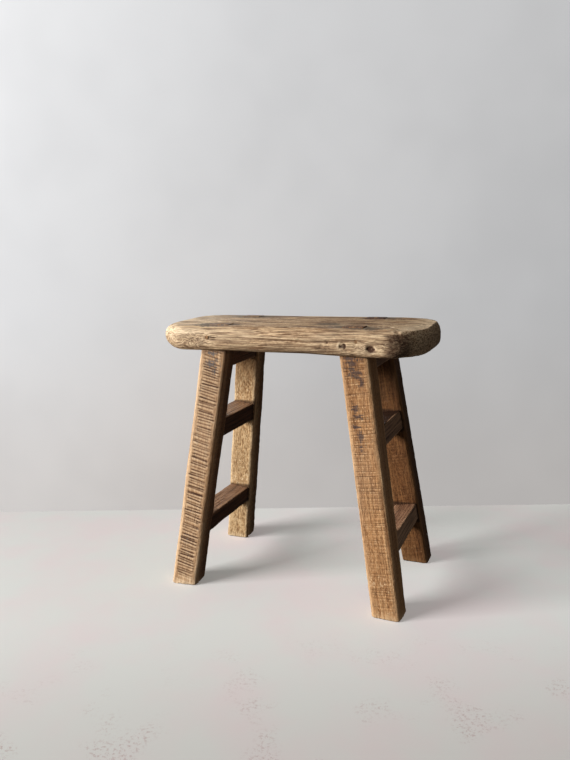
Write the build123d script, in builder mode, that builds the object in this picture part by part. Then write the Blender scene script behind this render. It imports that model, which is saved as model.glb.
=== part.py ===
from build123d import *
from math import atan2, cos, degrees, hypot, sin, tan
import os

os.makedirs("parts", exist_ok=True)

# Plank stool on four legs that splay both ways, held by mortise and tenon joints.
# Millimetres, +Z up. The origin is on the floor under the middle of the seat.
# The seat's length runs along X, and the two legs of each end stand in one tilted frame.

# Seat plank
overall_height = 460
seat_length = 475
seat_width = 198
seat_thickness = 44
seat_corner_radius = 62
seat_top_round = 18
seat_bottom_round = 9

# Leg axes: how far in from the seat's end and long edge they meet its underside,
# and how far out from there they reach the floor
leg_end_inset = 113
leg_edge_inset = 30
splay_x = 60.5
splay_y = 41

# Leg section at the shoulder, square to its axis, and how far each face draws in by the floor
leg_width = 46
leg_depth = 42
leg_draw_in = 0.8
leg_arris = 5
foot_arris = 2

# Through tenon of a leg, and the wedge driven into its top
tenon_width = 34
tenon_depth = 25
wedge_thickness = 4.5
wedge_tip_thickness = 1
wedge_length = 32

# Pin from the seat's long edge through a leg's tenon: its place from the seat's end and top
seat_pin_diameter = 7
seat_pin_length = 52
seat_pin_end_inset = 107.5
seat_pin_drop = 20

# Cross rails of each end frame, and the heights of the stretchers' middles
rail_thickness = 40
rail_arris = 2.5
top_rail_height = 29.5
middle_stretcher_z = 277.5
middle_stretcher_height = 34
lower_stretcher_z = 102.5
lower_stretcher_height = 31

# Blind tenons of the cross rails, and the whittled pegs that hold the stretchers, set below their middles
rail_tenon_thickness = 14
rail_tenon_shoulder = 5.5
rail_tenon_length = 30
peg_diameter = 7
peg_stand_out = 0.4
peg_drop = 4
peg_sides = 8

# Room around each tenon, pin and peg, and how far cuts run past what they cut
joint_clearance = 0.15
overrun = 30

underside_z = overall_height - seat_thickness
underside = Plane.XY.offset(underside_z)
seat_top = Plane.XY.offset(overall_height)
leg_top_x = seat_length / 2 - leg_end_inset
leg_top_y = seat_width / 2 - leg_edge_inset
leg_slant = hypot(splay_x, splay_y, underside_z)
leg_taper = atan2(leg_draw_in, leg_slant)
frame_tilt = atan2(splay_x, underside_z)

LEGS = {
    "leg_front_left": (-1, -1),
    "leg_front_right": (1, -1),
    "leg_back_left": (-1, 1),
    "leg_back_right": (1, 1),
}
ENDS = {"left": -1, "right": 1}
STRETCHERS = {
    "middle_stretcher": (middle_stretcher_z, middle_stretcher_height),
    "lower_stretcher": (lower_stretcher_z, lower_stretcher_height),
}
RAILS = {"top_rail": (underside_z - top_rail_height / 2, top_rail_height), **STRETCHERS}


def leg_point(side_x, side_y, z):
    """Where a leg's axis is at height z."""
    drop_share = 1 - z / underside_z
    return Vector(side_x * (leg_top_x + splay_x * drop_share), side_y * (leg_top_y + splay_y * drop_share), z)


def across_frame(side_x):
    """Direction square to the tilted frame of one end."""
    return Vector(cos(frame_tilt), 0, side_x * sin(frame_tilt))


def leg_plane(side_x, side_y, z):
    """Plane square to a leg's axis, X across the end frame and Z up the leg."""
    up_leg = Vector(-side_x * splay_x, -side_y * splay_y, underside_z)
    return Plane(origin=leg_point(side_x, side_y, z), x_dir=across_frame(side_x), z_dir=up_leg)


def rail_plane(side_x, z):
    """Section plane at the middle of an end frame, X across the frame and Y up it."""
    middle = Vector(leg_point(side_x, 0, z).X, 0, z)
    return Plane(origin=middle, x_dir=across_frame(side_x), z_dir=(0, -1, 0))


def leg_bar(side_x, side_y):
    """Tapered bar with sharp arrises along a leg, past the floor and the seat's underside."""
    widening = 2 * overrun * tan(leg_taper)
    with BuildPart() as bar:
        with BuildSketch(-leg_plane(side_x, side_y, underside_z).offset(overrun)):
            Rectangle(leg_width + widening, leg_depth + widening)
        extrude(amount=leg_slant + 2 * overrun, taper=degrees(leg_taper))
    return bar.part


def through_tenon(side_x, side_y, room):
    """Slanted bar through the seat's thickness in line with a leg, with room around it."""
    with BuildPart() as bar:
        with BuildSketch(leg_plane(side_x, side_y, underside_z)):
            Rectangle(tenon_width + 2 * room, tenon_depth + 2 * room)
        extrude(amount=seat_thickness + overrun, both=True)
    return bar.part


def wedge_bar(side_x, side_y):
    """Wedge down the middle of a through tenon, across the seat's grain, cut level with the seat."""
    tenon_top = leg_plane(side_x, side_y, overall_height)
    flare = (wedge_thickness - wedge_tip_thickness) / (2 * wedge_length)
    with BuildPart() as bar:
        with BuildSketch(Plane(origin=tenon_top.origin, x_dir=tenon_top.x_dir, z_dir=tenon_top.y_dir)):
            with BuildLine():
                half_tip = wedge_tip_thickness / 2
                half_top = wedge_thickness / 2 + flare * overrun
                Polyline(
                    (-half_top, -overrun),
                    (half_top, -overrun),
                    (half_tip, wedge_length),
                    (-half_tip, wedge_length),
                    close=True,
                )
            make_face()
        extrude(amount=tenon_depth / 2, both=True)
        split(bisect_by=seat_top, keep=Keep.BOTTOM)
    return bar.part


def peg_section(diameter, drilled):
    """Section of a drilled hole with its room, or else of the whittled peg or pin that it takes."""
    with BuildSketch() as section:
        if drilled:
            Circle(diameter / 2 + joint_clearance)
        else:
            RegularPolygon(diameter / 2, peg_sides)
    return section.sketch


def seat_pin_bar(side_x, side_y, drilled):
    """Pin from the seat's long edge through a leg's tenon, or the hole drilled for it."""
    section = peg_section(seat_pin_diameter, drilled)
    room = joint_clearance if drilled else 0
    pin_x = seat_length / 2 - seat_pin_end_inset
    edge_point = (side_x * pin_x, side_y * seat_width / 2, overall_height - seat_pin_drop)
    with BuildPart() as bar:
        with BuildSketch(Plane(origin=edge_point, x_dir=(1, 0, 0), z_dir=(0, -side_y, 0))):
            add(section)
        extrude(amount=seat_pin_length + room)
    return bar.part


def rail_tenons(side_x, z, height, room):
    """One bar through a cross rail that ends in its two blind tenons, with room around it."""
    inner_face_y = leg_point(side_x, 1, z).Y - leg_depth / 2
    with BuildPart() as bar:
        with BuildSketch(rail_plane(side_x, z)):
            Rectangle(rail_tenon_thickness + 2 * room, height - 2 * rail_tenon_shoulder + 2 * room)
        extrude(amount=inner_face_y + rail_tenon_length + room, both=True)
    return bar.part


def peg_bar(side_x, side_y, z, drilled):
    """Peg across a leg through the stretcher tenon of height z, or the hole drilled for it."""
    section = peg_section(peg_diameter, drilled)
    peg_z = z - peg_drop
    half_width = leg_width / 2 - leg_draw_in * (1 - peg_z / underside_z)
    across = Plane(origin=leg_point(side_x, side_y, peg_z), x_dir=(0, 1, 0), z_dir=across_frame(side_x))
    with BuildPart() as bar:
        with BuildSketch(across):
            add(section)
        extrude(amount=half_width + peg_stand_out, both=True)
    return bar.part


def finish(piece, label):
    """Name a piece and write its file."""
    piece.label = label
    export_step(piece, f"parts/{label}.step")


# Seat
leg_mortises = [through_tenon(*sides, joint_clearance) for sides in LEGS.values()]
seat_pin_holes = [seat_pin_bar(*sides, True) for sides in LEGS.values()]
with BuildPart() as seat:
    with BuildSketch(underside):
        RectangleRounded(seat_length, seat_width, seat_corner_radius)
    extrude(amount=seat_thickness)
    fillet(seat.faces().sort_by(Axis.Z)[-1].edges(), seat_top_round)
    fillet(seat.faces().sort_by(Axis.Z)[0].edges(), seat_bottom_round)
    add(leg_mortises, mode=Mode.SUBTRACT)
    add(seat_pin_holes, mode=Mode.SUBTRACT)
finish(seat.part, "seat")

# Legs
for leg_name, (side_x, side_y) in LEGS.items():
    bar = leg_bar(side_x, side_y)
    tenon = through_tenon(side_x, side_y, 0)
    cuts = [rail_tenons(side_x, z, height, joint_clearance) for z, height in RAILS.values()]
    cuts += [peg_bar(side_x, side_y, z, True) for z, height in STRETCHERS.values()]
    cuts += [wedge_bar(side_x, side_y), seat_pin_bar(side_x, side_y, True)]
    with BuildPart() as leg:
        add(bar)
        chamfer(leg.edges().sort_by(SortBy.LENGTH)[-4:], leg_arris)
        split(bisect_by=Plane.XY, keep=Keep.TOP)
        chamfer(leg.faces().sort_by(Axis.Z)[0].edges(), foot_arris)
        split(bisect_by=underside, keep=Keep.BOTTOM)
        add(tenon)
        split(bisect_by=seat_top, keep=Keep.BOTTOM)
        add(cuts, mode=Mode.SUBTRACT)
    finish(leg.part, leg_name)

# Cross rails, with shoulders that follow the leaning legs
for rail_name, (z, height) in RAILS.items():
    for end_name, side_x in ENDS.items():
        bars = [leg_bar(side_x, side_y) for side_y in (-1, 1)]
        tenons = rail_tenons(side_x, z, height, 0)
        cuts = [peg_bar(side_x, side_y, z, True) for side_y in (-1, 1)]
        bevel = rail_thickness * tan(frame_tilt) if rail_name == "top_rail" else 0
        with BuildPart() as rail:
            with BuildSketch(rail_plane(side_x, z)):
                with Locations((0, bevel / 2)):
                    Rectangle(rail_thickness, height + bevel)
            extrude(amount=leg_point(side_x, 1, z).Y, both=True)
            chamfer(rail.edges().filter_by(Axis.Y), rail_arris)
            split(bisect_by=underside, keep=Keep.BOTTOM)
            add(bars, mode=Mode.SUBTRACT)
            add(tenons)
            if rail_name in STRETCHERS:
                add(cuts, mode=Mode.SUBTRACT)
        finish(rail.part, f"{rail_name}_{end_name}")

# Wedges in the tops of the leg tenons
wedges = [wedge_bar(*sides) for sides in LEGS.values()]
with BuildPart() as tenon_wedges:
    add(wedges)
finish(tenon_wedges.part, "tenon_wedges")

# Pins through the seat's long edges
pins = [seat_pin_bar(*sides, False) for sides in LEGS.values()]
with BuildPart() as seat_pins:
    add(pins)
finish(seat_pins.part, "seat_pins")

# Pegs across the legs
pegs = [peg_bar(*sides, z, False) for sides in LEGS.values() for z, height in STRETCHERS.values()]
with BuildPart() as stretcher_pegs:
    add(pegs)
finish(stretcher_pegs.part, "stretcher_pegs")
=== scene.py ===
from math import atan2, cos, pi, radians, sin

import bpy
import bmesh
import numpy as np
from mathutils import Matrix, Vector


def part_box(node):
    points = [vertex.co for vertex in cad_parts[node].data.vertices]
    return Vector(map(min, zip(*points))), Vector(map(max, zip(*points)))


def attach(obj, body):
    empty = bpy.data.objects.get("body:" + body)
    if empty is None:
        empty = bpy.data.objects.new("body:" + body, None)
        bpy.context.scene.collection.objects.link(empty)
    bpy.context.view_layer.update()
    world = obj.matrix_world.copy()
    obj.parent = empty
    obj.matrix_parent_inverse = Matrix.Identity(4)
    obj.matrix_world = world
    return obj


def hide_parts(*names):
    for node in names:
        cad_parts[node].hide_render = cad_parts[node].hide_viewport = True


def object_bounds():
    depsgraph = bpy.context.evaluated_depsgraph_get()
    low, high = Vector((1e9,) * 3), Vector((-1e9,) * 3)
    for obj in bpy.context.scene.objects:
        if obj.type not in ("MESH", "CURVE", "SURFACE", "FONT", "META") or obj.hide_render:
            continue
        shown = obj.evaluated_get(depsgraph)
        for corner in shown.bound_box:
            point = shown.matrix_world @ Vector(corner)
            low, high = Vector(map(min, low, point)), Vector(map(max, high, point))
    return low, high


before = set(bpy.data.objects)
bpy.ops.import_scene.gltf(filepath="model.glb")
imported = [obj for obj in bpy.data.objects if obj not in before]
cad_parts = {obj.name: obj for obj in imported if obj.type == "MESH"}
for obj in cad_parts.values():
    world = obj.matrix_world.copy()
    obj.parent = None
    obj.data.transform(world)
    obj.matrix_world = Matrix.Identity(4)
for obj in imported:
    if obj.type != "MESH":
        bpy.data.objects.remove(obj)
cad_low, cad_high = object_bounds()

# Looks of the plank stool. Shapes are worked out in millimetres in the part's frame and
# turned into metres when a mesh is made. Left and right are -X and +X, front is -Y.
MM = 0.001

# Seat, legs and tenons, as in the part
SEAT_LOW, SEAT_HIGH = (np.array(corner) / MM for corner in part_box("seat"))
UNDERSIDE_Z = SEAT_LOW[2]
SEAT_TOP_Z = SEAT_HIGH[2]
HALF_LENGTH = SEAT_HIGH[0]
HALF_WIDTH = SEAT_HIGH[1]
CORNER_RADIUS = 62
LEG_TOP_X = HALF_LENGTH - 113
LEG_TOP_Y = HALF_WIDTH - 30
SPLAY_X = 60.5
SPLAY_Y = 41
LEG_WIDTH = 46
LEG_DEPTH = 42
LEG_DRAW_IN = 0.8
TENON_WIDTH = 34
TENON_DEPTH = 25
FRAME_TILT = atan2(SPLAY_X, UNDERSIDE_Z)
LEGS = {
    "leg_front_left": (-1, -1),
    "leg_front_right": (1, -1),
    "leg_back_left": (-1, 1),
    "leg_back_right": (1, 1),
}

# Rails, as in the part: height of the middle and height of the section
RAIL_THICKNESS = 40
TOP_RAIL_HEIGHT = 29.5
RAILS = {
    "top_rail": (UNDERSIDE_Z - TOP_RAIL_HEIGHT / 2, TOP_RAIL_HEIGHT),
    "middle_stretcher": (277.5, 34),
    "lower_stretcher": (102.5, 31),
}
STRETCHERS = (RAILS["middle_stretcher"], RAILS["lower_stretcher"])

# Pegs, pins and wedges, as in the part but for what is left free at their ends and sides
PEG_RADIUS = 3.5
PEG_DROP = 4
PEG_STAND_OUT = 0.3
PIN_X = HALF_LENGTH - 107.5
PIN_Z = SEAT_TOP_Z - 20
PIN_LENGTH = 52
PIN_SUNK = 0.5
TENON_TOP_Z = SEAT_TOP_Z - 0.3
WEDGE_TOP = 4.5
WEDGE_TIP = 1.0
WEDGE_LENGTH = 32
WEDGE_SIDE_GAP = 0.6
WEDGE_STAND_OUT = 0.15


# Steady noise and soft shapes

def lattice(cells, seed):
    """Random numbers from 0 to 1 that depend only on the cell (three whole numbers) and the seed."""
    cells = cells.astype(np.int64)
    key = cells @ np.array([374761393, 668265263, 951274213]) + seed * 144664711
    key &= 0xFFFFFFFF
    key = ((key ^ (key >> 15)) * 2246822519) & 0xFFFFFFFF
    key = ((key ^ (key >> 13)) * 3266489917) & 0xFFFFFFFF
    return (key ^ (key >> 16)) / 0xFFFFFFFF


def noise(points, size, seed, octaves=1):
    """Smooth noise from about -1 to 1 with bumps of that size, one number or one for each axis."""
    total = np.zeros(points.shape[:-1])
    weight = 1.0
    reach = 0.0
    scaled = points / np.array(size, float) + seed * 17.31
    for octave in range(octaves):
        base = np.floor(scaled)
        part = scaled - base
        part = part * part * (3 - 2 * part)
        value = np.zeros_like(total)
        for corner in np.ndindex(2, 2, 2):
            share = np.where(corner, part, 1 - part).prod(axis=-1)
            value += share * lattice(base + corner, seed + octave * 31)
        total += weight * (2 * value - 1)
        reach += weight
        weight *= 0.5
        scaled = scaled * 2 + 5.17
    return total / reach * 1.6


def swells(points, rows, seed=0):
    """Sum of noises from rows of height, size, seed offset and octaves."""
    return sum(rise * noise(points, size, seed + offset, octaves) for rise, size, offset, octaves in rows)


def on_axis(values):
    """Points that differ along one axis only."""
    return np.stack([values, 0 * values, 0 * values], -1)


def ramp(value, low, high):
    """Smooth step from 0 at low to 1 at high."""
    share = np.clip((value - low) / (high - low), 0, 1)
    return share * share * (3 - 2 * share)


def bell(value):
    """1 at 0, and less on both sides of it."""
    return np.exp(-(value ** 2))


def spot(across, up, centre, size, tilt=0):
    """Soft oval from 1 at its centre to 0, with half sizes and a tilt in degrees."""
    dx, dy = across - centre[0], up - centre[1]
    turn = radians(tilt)
    dx, dy = dx * cos(turn) + dy * sin(turn), dy * cos(turn) - dx * sin(turn)
    return bell(dx / size[0]) * bell(dy / size[1])


def near_arris(x, y, half_x, half_y, reach):
    """1 on the arrises of a bar, and less away from them over that reach."""
    gap = np.maximum(half_x - np.abs(x), 0) + np.maximum(half_y - np.abs(y), 0)
    return bell(gap / reach)


def saw_marks(along, across, half, seed, spacing, thickness, slant, ends=(0.5, 1.0, 0.5, 1.0), faint=0.15):
    """Strokes of a saw across a face, each with its own place, tilt, depth and ends.

    The ends are the least and greatest reach to the left and to the right, as shares of the half width.
    """
    level = (along - slant * across) / spacing
    total = np.zeros_like(level)
    for step in (-1, 0, 1):
        stroke = np.floor(level) + step
        chance = [lattice(on_axis(stroke), seed + n) for n in range(5)]
        centre = stroke + 0.5 + 0.32 * (2 * chance[0] - 1)
        tilt = 0.05 * (2 * chance[1] - 1) * across / spacing
        left = -half * (ends[0] + (ends[1] - ends[0]) * chance[3])
        right = half * (ends[2] + (ends[3] - ends[2]) * chance[4])
        reach = ramp(across, left - 2.5, left + 2.5) * (1 - ramp(across, right - 3, right + 3))
        depth = faint + (1 - faint) * chance[2]
        total += depth * reach * bell((level - centre - tilt) * spacing / thickness)
    return np.clip(total, 0, 1)


# Meshes from rings of points

# Wear and crest hold painted highlight as well as rubbed places and pale crests. Dirt holds painted shade as
# well as dirt. Shade is painted shade.
MARKS = ("saw", "crest", "wear", "dirt", "stain", "shade")
BOX_MARGIN = 0.05
WELD_REACH = 1e-6
LEAST_EDGE = 1e-7


def wood_marks(grain, **given):
    """What a timber reads at each point: its place in the wood, and the marks, 0 where not given."""
    none = np.zeros(grain.shape[:2])
    return {"grain": grain, **{mark: none + given.get(mark, 0) for mark in MARKS}}


def outward(rings):
    """Directions square to a skin of closed rings, one for each point."""
    along = np.gradient(rings, axis=0)
    around = np.roll(rings, -1, axis=1) - np.roll(rings, 1, axis=1)
    normal = np.cross(around, along)
    size = np.linalg.norm(normal, axis=-1, keepdims=True)
    return normal / np.maximum(size, 1e-9)


def rounded_loops(half_x, half_y, radii, side_points, arc_points, oval=1):
    """Rounded rectangles, one for each ring, from half sizes and four corner radii a ring.

    Oval is the first corner's depth in y as a share of its radius in x.
    """
    arcs = []
    for corner, (sign_x, sign_y) in enumerate(((1, -1), (1, 1), (-1, 1), (-1, -1))):
        radius = radii[:, corner, None]
        depth = radius * (1 if corner else oval)
        angle = pi / 2 * (corner - 1 + np.linspace(0, 1, arc_points))
        x = sign_x * (half_x[:, None] - radius) + radius * np.cos(angle)
        y = sign_y * (half_y[:, None] - depth) + depth * np.sin(angle)
        arcs.append(np.stack([x, y], -1))
    share = (np.arange(1, side_points + 1) / (side_points + 1))[None, :, None]
    loops = []
    for corner in range(4):
        start, end = arcs[corner][:, -1:], arcs[(corner + 1) % 4][:, :1]
        loops += [arcs[corner], start + (end - start) * share]
    return np.concatenate(loops, axis=1)


def bar_loops(half_x, half_y, scale, radius, side_points, arc_points):
    """Rounded rectangles of a bar with one corner radius, each times its ring's scale."""
    one = np.ones(len(scale))
    radii = np.full((len(scale), 4), radius)
    return rounded_loops(one * half_x, one * half_y, radii, side_points, arc_points) * scale[:, None, None]


def keep_inside(points):
    """Points held inside the part's box."""
    return np.clip(points, np.array(cad_low) / MM + BOX_MARGIN, np.array(cad_high) / MM - BOX_MARGIN)


def link_mesh(name, mesh, material):
    """An object of a mesh in the scene, with its material."""
    mesh.materials.append(material)
    thing = bpy.data.objects.new(name, mesh)
    bpy.context.collection.objects.link(thing)
    return thing


def make_piece(name, shells, material, node):
    """One object from closed skins of rings. Each skin is its rings and a dict of values at its points."""
    vertices, faces, values = [], [], {}
    first = 0
    for rings, marks in shells:
        count, size = rings.shape[:2]
        index = first + np.arange(count * size).reshape(count, size)
        beside = np.roll(index, -1, axis=1)
        quads = np.stack([index[:-1], beside[:-1], beside[1:], index[1:]], -1)
        faces.append(quads.reshape(-1, 4))
        vertices.append(keep_inside(rings).reshape(-1, 3) * MM)
        for key, value in marks.items():
            values.setdefault(key, []).append(value.reshape(count * size, -1))
        first += count * size
    mesh = bpy.data.meshes.new(name)
    mesh.from_pydata(np.concatenate(vertices).tolist(), [], np.concatenate(faces).tolist())
    for key, value in values.items():
        value = np.concatenate(value)
        kind, field = ("FLOAT_VECTOR", "vector") if value.shape[1] == 3 else ("FLOAT", "value")
        mesh.attributes.new(key, kind, "POINT").data.foreach_set(field, value.ravel().astype(np.float32))
    weld = bmesh.new()
    weld.from_mesh(mesh)
    bmesh.ops.remove_doubles(weld, verts=weld.verts, dist=WELD_REACH)
    bmesh.ops.dissolve_degenerate(weld, edges=weld.edges, dist=LEAST_EDGE)
    weld.to_mesh(mesh)
    weld.free()
    mesh.shade_smooth()
    piece = link_mesh(name, mesh, material)
    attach(piece, "root")
    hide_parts(node)
    return piece


# Node materials

class Tree:
    """Adds nodes to a material or world. Inputs are given by name, as values or other nodes' sockets."""

    def __init__(self, owner):
        owner.use_nodes = True
        owner.node_tree.nodes.clear()
        self.owner = owner
        self.tree = owner.node_tree

    def add(self, kind, inputs=(), **settings):
        node = self.tree.nodes.new("ShaderNode" + kind)
        for key, value in settings.items():
            setattr(node, key, value)
        for key, value in dict(inputs).items():
            self.fill(node.inputs[key], value)
        return node

    def fill(self, socket, value):
        if isinstance(value, bpy.types.NodeSocket):
            self.tree.links.new(value, socket)
        elif socket.type == "RGBA":
            socket.default_value = (*value, 1)
        else:
            socket.default_value = value

    def value(self, name):
        return self.add("Attribute", attribute_name=name).outputs["Fac"]

    def math(self, operation, *values, clamp=False):
        return self.add("Math", enumerate(values), operation=operation, use_clamp=clamp).outputs[0]

    def times(self, a, b, clamp=False):
        return self.math("MULTIPLY", a, b, clamp=clamp)

    def centred(self, value):
        return self.math("SUBTRACT", value, 0.5)

    def weigh(self, total, *terms):
        """A start value plus each term's value times its weight."""
        for value, weight in terms:
            total = self.math("MULTIPLY_ADD", value, weight, total)
        return total

    def vmath(self, operation, *values):
        node = self.add("VectorMath", enumerate(values), operation=operation)
        return node.outputs["Value" if operation in ("LENGTH", "DOT_PRODUCT") else "Vector"]

    def noise(self, vector, scale, detail=2.0, roughness=0.55, output="Fac"):
        scaled = self.vmath("MULTIPLY", vector, scale)
        inputs = {"Vector": scaled, "Scale": 1.0, "Detail": detail, "Roughness": roughness}
        return self.add("TexNoise", inputs).outputs[output]

    def step(self, value, low, high, to_low=0.0, to_high=1.0):
        inputs = {"Value": value, "From Min": low, "From Max": high, "To Min": to_low, "To Max": to_high}
        return self.add("MapRange", inputs, interpolation_type="SMOOTHSTEP").outputs["Result"]

    def mix(self, share, a, b, blend="MIX"):
        node = self.add("Mix", data_type="RGBA", blend_type=blend)
        for number, value in ((0, share), (6, a), (7, b)):
            self.fill(node.inputs[number], value)
        return node.outputs[2]

    def colours(self, value, stops):
        node = self.add("ValToRGB", {"Fac": value})
        elements = node.color_ramp.elements
        while len(elements) < len(stops):
            elements.new(0.5)
        for element, (place, colour) in zip(elements, stops):
            element.position = place
            element.color = (*colour, 1)
        return node.outputs["Color"]

    def surface(self, colour, roughness, height, bump_strength, bump_distance, specular):
        bump = self.add("Bump", {"Height": height, "Strength": bump_strength, "Distance": bump_distance})
        inputs = {"Base Color": colour, "Roughness": roughness, "Normal": bump.outputs["Normal"]}
        return self.add("BsdfPrincipled", {**inputs, "Specular IOR Level": specular}).outputs[0]

    def finish(self, surface, kind="OutputMaterial"):
        self.add(kind, {"Surface": surface})
        return self.owner


def srgb(*colour):
    """Linear colour from sRGB numbers of 0 to 255."""
    scaled = [c / 255 for c in colour]
    return tuple(c / 12.92 if c <= 0.04045 else ((c + 0.055) / 1.055) ** 2.4 for c in scaled)


# Painted shade multiplies the wood's colour by this tint.
SHADE_TINT = (0.3, 0.24, 0.19)


def timber_figure(t, pith, ring, fine, short):
    """Late wood of the year rings round a pith, and what runs along the grain, each from 0 to 1.

    The grain attribute holds each point's place in its timber in metres, with Z along the grain.
    """
    grain = t.add("Attribute", attribute_name="grain").outputs["Vector"]
    sway = t.noise(grain, (14, 14, 4.0), output="Color")
    sway = t.vmath("MULTIPLY", t.vmath("SUBTRACT", sway, (0.5, 0.5, 0.5)), (0.012, 0.012, 0.0))
    swayed = t.vmath("ADD", grain, sway)

    def figure(across, along, detail, roughness=0.55):
        return t.noise(swayed, (across, across, along), detail, roughness)

    off_pith = t.vmath("MULTIPLY", t.vmath("SUBTRACT", swayed, (*pith, 0.0)), (1.0, 1.0, 0.03))
    radius = t.math("DIVIDE", t.vmath("LENGTH", off_pith), ring)
    year = t.math("FRACT", t.weigh(radius, (figure(60, 3.0, 1.0), 2.2)))
    return {
        "late": t.times(t.step(year, 0.35, 0.86), t.step(year, 1.0, 0.93)),
        "streak": figure(300 * fine, 7.0 * short, 3.0, 0.6),
        "fibre": figure(1100, 34.0, 3.0, 0.6),
        "ridge": t.step(figure(210 * fine, 5.0 * short, 2.0, 0.6), 0.53, 0.66),
        "crack": t.step(figure(240 * fine, 8.0 * short, 3.0, 0.65), 0.6, 0.69),
        "pores": t.step(figure(1700, 95.0, 1.0), 0.6, 0.7),
        "patch": t.step(figure(22, 9.0, 2.0), 0.42, 0.7),
        "fleck": figure(420, 170.0, 2.0, 0.65),
        "broken": t.step(t.noise(grain, (620, 620, 60.0), 2.0, 0.7), 0.36, 0.56),
    }


def used_colour(t, colour, figure, worn_and_highlight, dirt, stain, breaks):
    """The colour under rubbed places and crests, both with painted highlight, strokes, dirt with painted
    shade, stains and painted shade; and the strokes.
    """
    streak, fleck = figure["streak"], figure["fleck"]
    rubbed_and_highlight = t.times(t.value("wear"), t.step(streak, 0.3, 0.58), clamp=True)
    colour = t.mix(t.times(rubbed_and_highlight, 0.85), colour, worn_and_highlight)
    crest = t.times(t.value("crest"), t.step(fleck, 0.5, 0.62, 1 - 2 * breaks, 1.0))
    colour = t.mix(crest, colour, worn_and_highlight)
    groove = t.times(t.value("saw"), t.step(figure["broken"], 0.0, 1.0, 1 - breaks, 1.0), clamp=True)
    colour = t.mix(groove, colour, dirt)
    soiled_and_shaded = t.step(t.weigh(t.value("dirt"), (t.centred(fleck), 0.9)), 0.15, 0.95)
    colour = t.mix(soiled_and_shaded, colour, dirt)
    stained = t.step(t.weigh(t.value("stain"), (t.centred(fleck), 2.6)), 0.3, 0.8)
    colour = t.mix(t.times(stained, 0.8), colour, stain)
    # Painted shade: where the shade mark is, the colour is multiplied by the tint.
    return t.mix(t.value("shade"), colour, t.mix(1.0, colour, SHADE_TINT, "MULTIPLY")), groove


def aged_wood(name, dark, middle, light, worn_and_highlight, grey, dirt=(66, 42, 28), stain=(66, 56, 58),
              pith=(0.03, -0.07), ring=0.0048, rings=0.1, gain=1.6, ridges=0.6, cracks=0.6, greying=0.5,
              fine=1.0, short=1.0, specks=0.5, breaks=0.5):
    """Old sawn timber with year rings, fibres and pores along the grain, weathering, dirt and wear, with
    painted shade and painted highlight.

    Colours are sRGB. Pith and ring are metres in its section. Fine and short draw its streaks closer. The
    others say how much there is of rings, streaks (gain), ridges, cracks, grey, specks and broken strokes.
    """
    colours = (dark, middle, light, worn_and_highlight, grey, dirt, stain)
    dark, middle, light, worn_and_highlight, grey, dirt, stain = (srgb(*colour) for colour in colours)
    t = Tree(bpy.data.materials.new(name))
    figure = timber_figure(t, pith, ring, fine, short)
    streak, fibre, fleck = figure["streak"], figure["fibre"], figure["fleck"]
    swings = ((t.centred(streak), gain), (t.centred(fibre), 0.9), (t.centred(fleck), specks))
    tone = t.weigh(0.5, *swings, (figure["late"], -rings))
    colour = t.colours(tone, ((0.12, dark), (0.5, middle), (0.86, light)))
    layers = (("patch", greying, grey), ("ridge", ridges, light), ("pores", 0.45, dirt),
              ("crack", cracks, dirt))
    for part, strength, over in layers:
        colour = t.mix(t.times(figure[part], strength), colour, over)
    colour, groove = used_colour(t, colour, figure, worn_and_highlight, dirt, stain, breaks)
    height = t.weigh(0.0, (fibre, 0.5), (streak, 0.7), (figure["pores"], -0.35), (figure["ridge"], 0.3),
                     (figure["crack"], -0.45), (fleck, 0.45), (groove, -0.5))
    roughness = t.weigh(0.6, (fibre, 0.25), (t.value("wear"), -0.1))
    return t.finish(t.surface(colour, roughness, height, 0.85, 0.0008, 0.15))


WOODS = {
    "seat": ("seat_wood", dict(
        dark=(98, 70, 48), middle=(163, 130, 97), light=(224, 196, 158), worn_and_highlight=(240, 217, 184),
        grey=(136, 115, 94), stain=(80, 71, 62), pith=(0.02, -0.11), ring=0.0042, rings=0.2, gain=2.9,
        ridges=0.7, cracks=1.0, greying=0.4, fine=1.85, short=2.6, specks=0.9)),
    "leg_front_left": ("leg_wood_front_left", dict(
        dark=(138, 102, 72), middle=(187, 148, 110), light=(226, 194, 156), worn_and_highlight=(240, 214, 180),
        grey=(164, 136, 112), dirt=(74, 48, 34), stain=(92, 90, 92), rings=0.05, gain=0.8, ridges=0.25,
        cracks=0.1, greying=0.3, specks=0.8, breaks=0.12)),
    "leg_front_right": ("leg_wood_front_right", dict(
        dark=(120, 80, 48), middle=(178, 131, 88), light=(216, 171, 122), worn_and_highlight=(232, 196, 154),
        grey=(144, 114, 90), pith=(-0.05, -0.08), rings=0.06, gain=1.0, ridges=0.3, cracks=0.2, greying=0.35,
        specks=1.0)),
    "leg_back_left": ("leg_wood_back_left", dict(
        dark=(132, 94, 58), middle=(192, 156, 113), light=(228, 197, 152), worn_and_highlight=(234, 208, 170),
        grey=(176, 148, 112), pith=(0.06, 0.05), rings=0.03, gain=0.7, ridges=0.2, cracks=0.15, greying=0.35,
        short=3.0, specks=2.0)),
    # The back right leg's colours are darker than the other legs', as painted shade: the front right leg
    # shades it.
    "leg_back_right": ("leg_wood_back_right_in_painted_shade", dict(
        dark=(74, 44, 24), middle=(116, 76, 44), light=(150, 106, 66), worn_and_highlight=(166, 124, 84),
        grey=(96, 68, 46), dirt=(48, 30, 20), pith=(-0.03, 0.09), rings=0.06, gain=0.9, cracks=0.25,
        short=2.0, specks=1.0)),
    "rail": ("rail_wood", dict(
        dark=(78, 52, 38), middle=(126, 90, 67), light=(170, 129, 99), worn_and_highlight=(200, 162, 128),
        grey=(112, 92, 78), pith=(0.04, 0.05))),
    "peg": ("peg_wood", dict(
        dark=(96, 68, 46), middle=(146, 110, 78), light=(184, 146, 106), worn_and_highlight=(206, 170, 128),
        grey=(124, 100, 80), pith=(0.0, 0.012), ring=0.003)),
}


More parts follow.
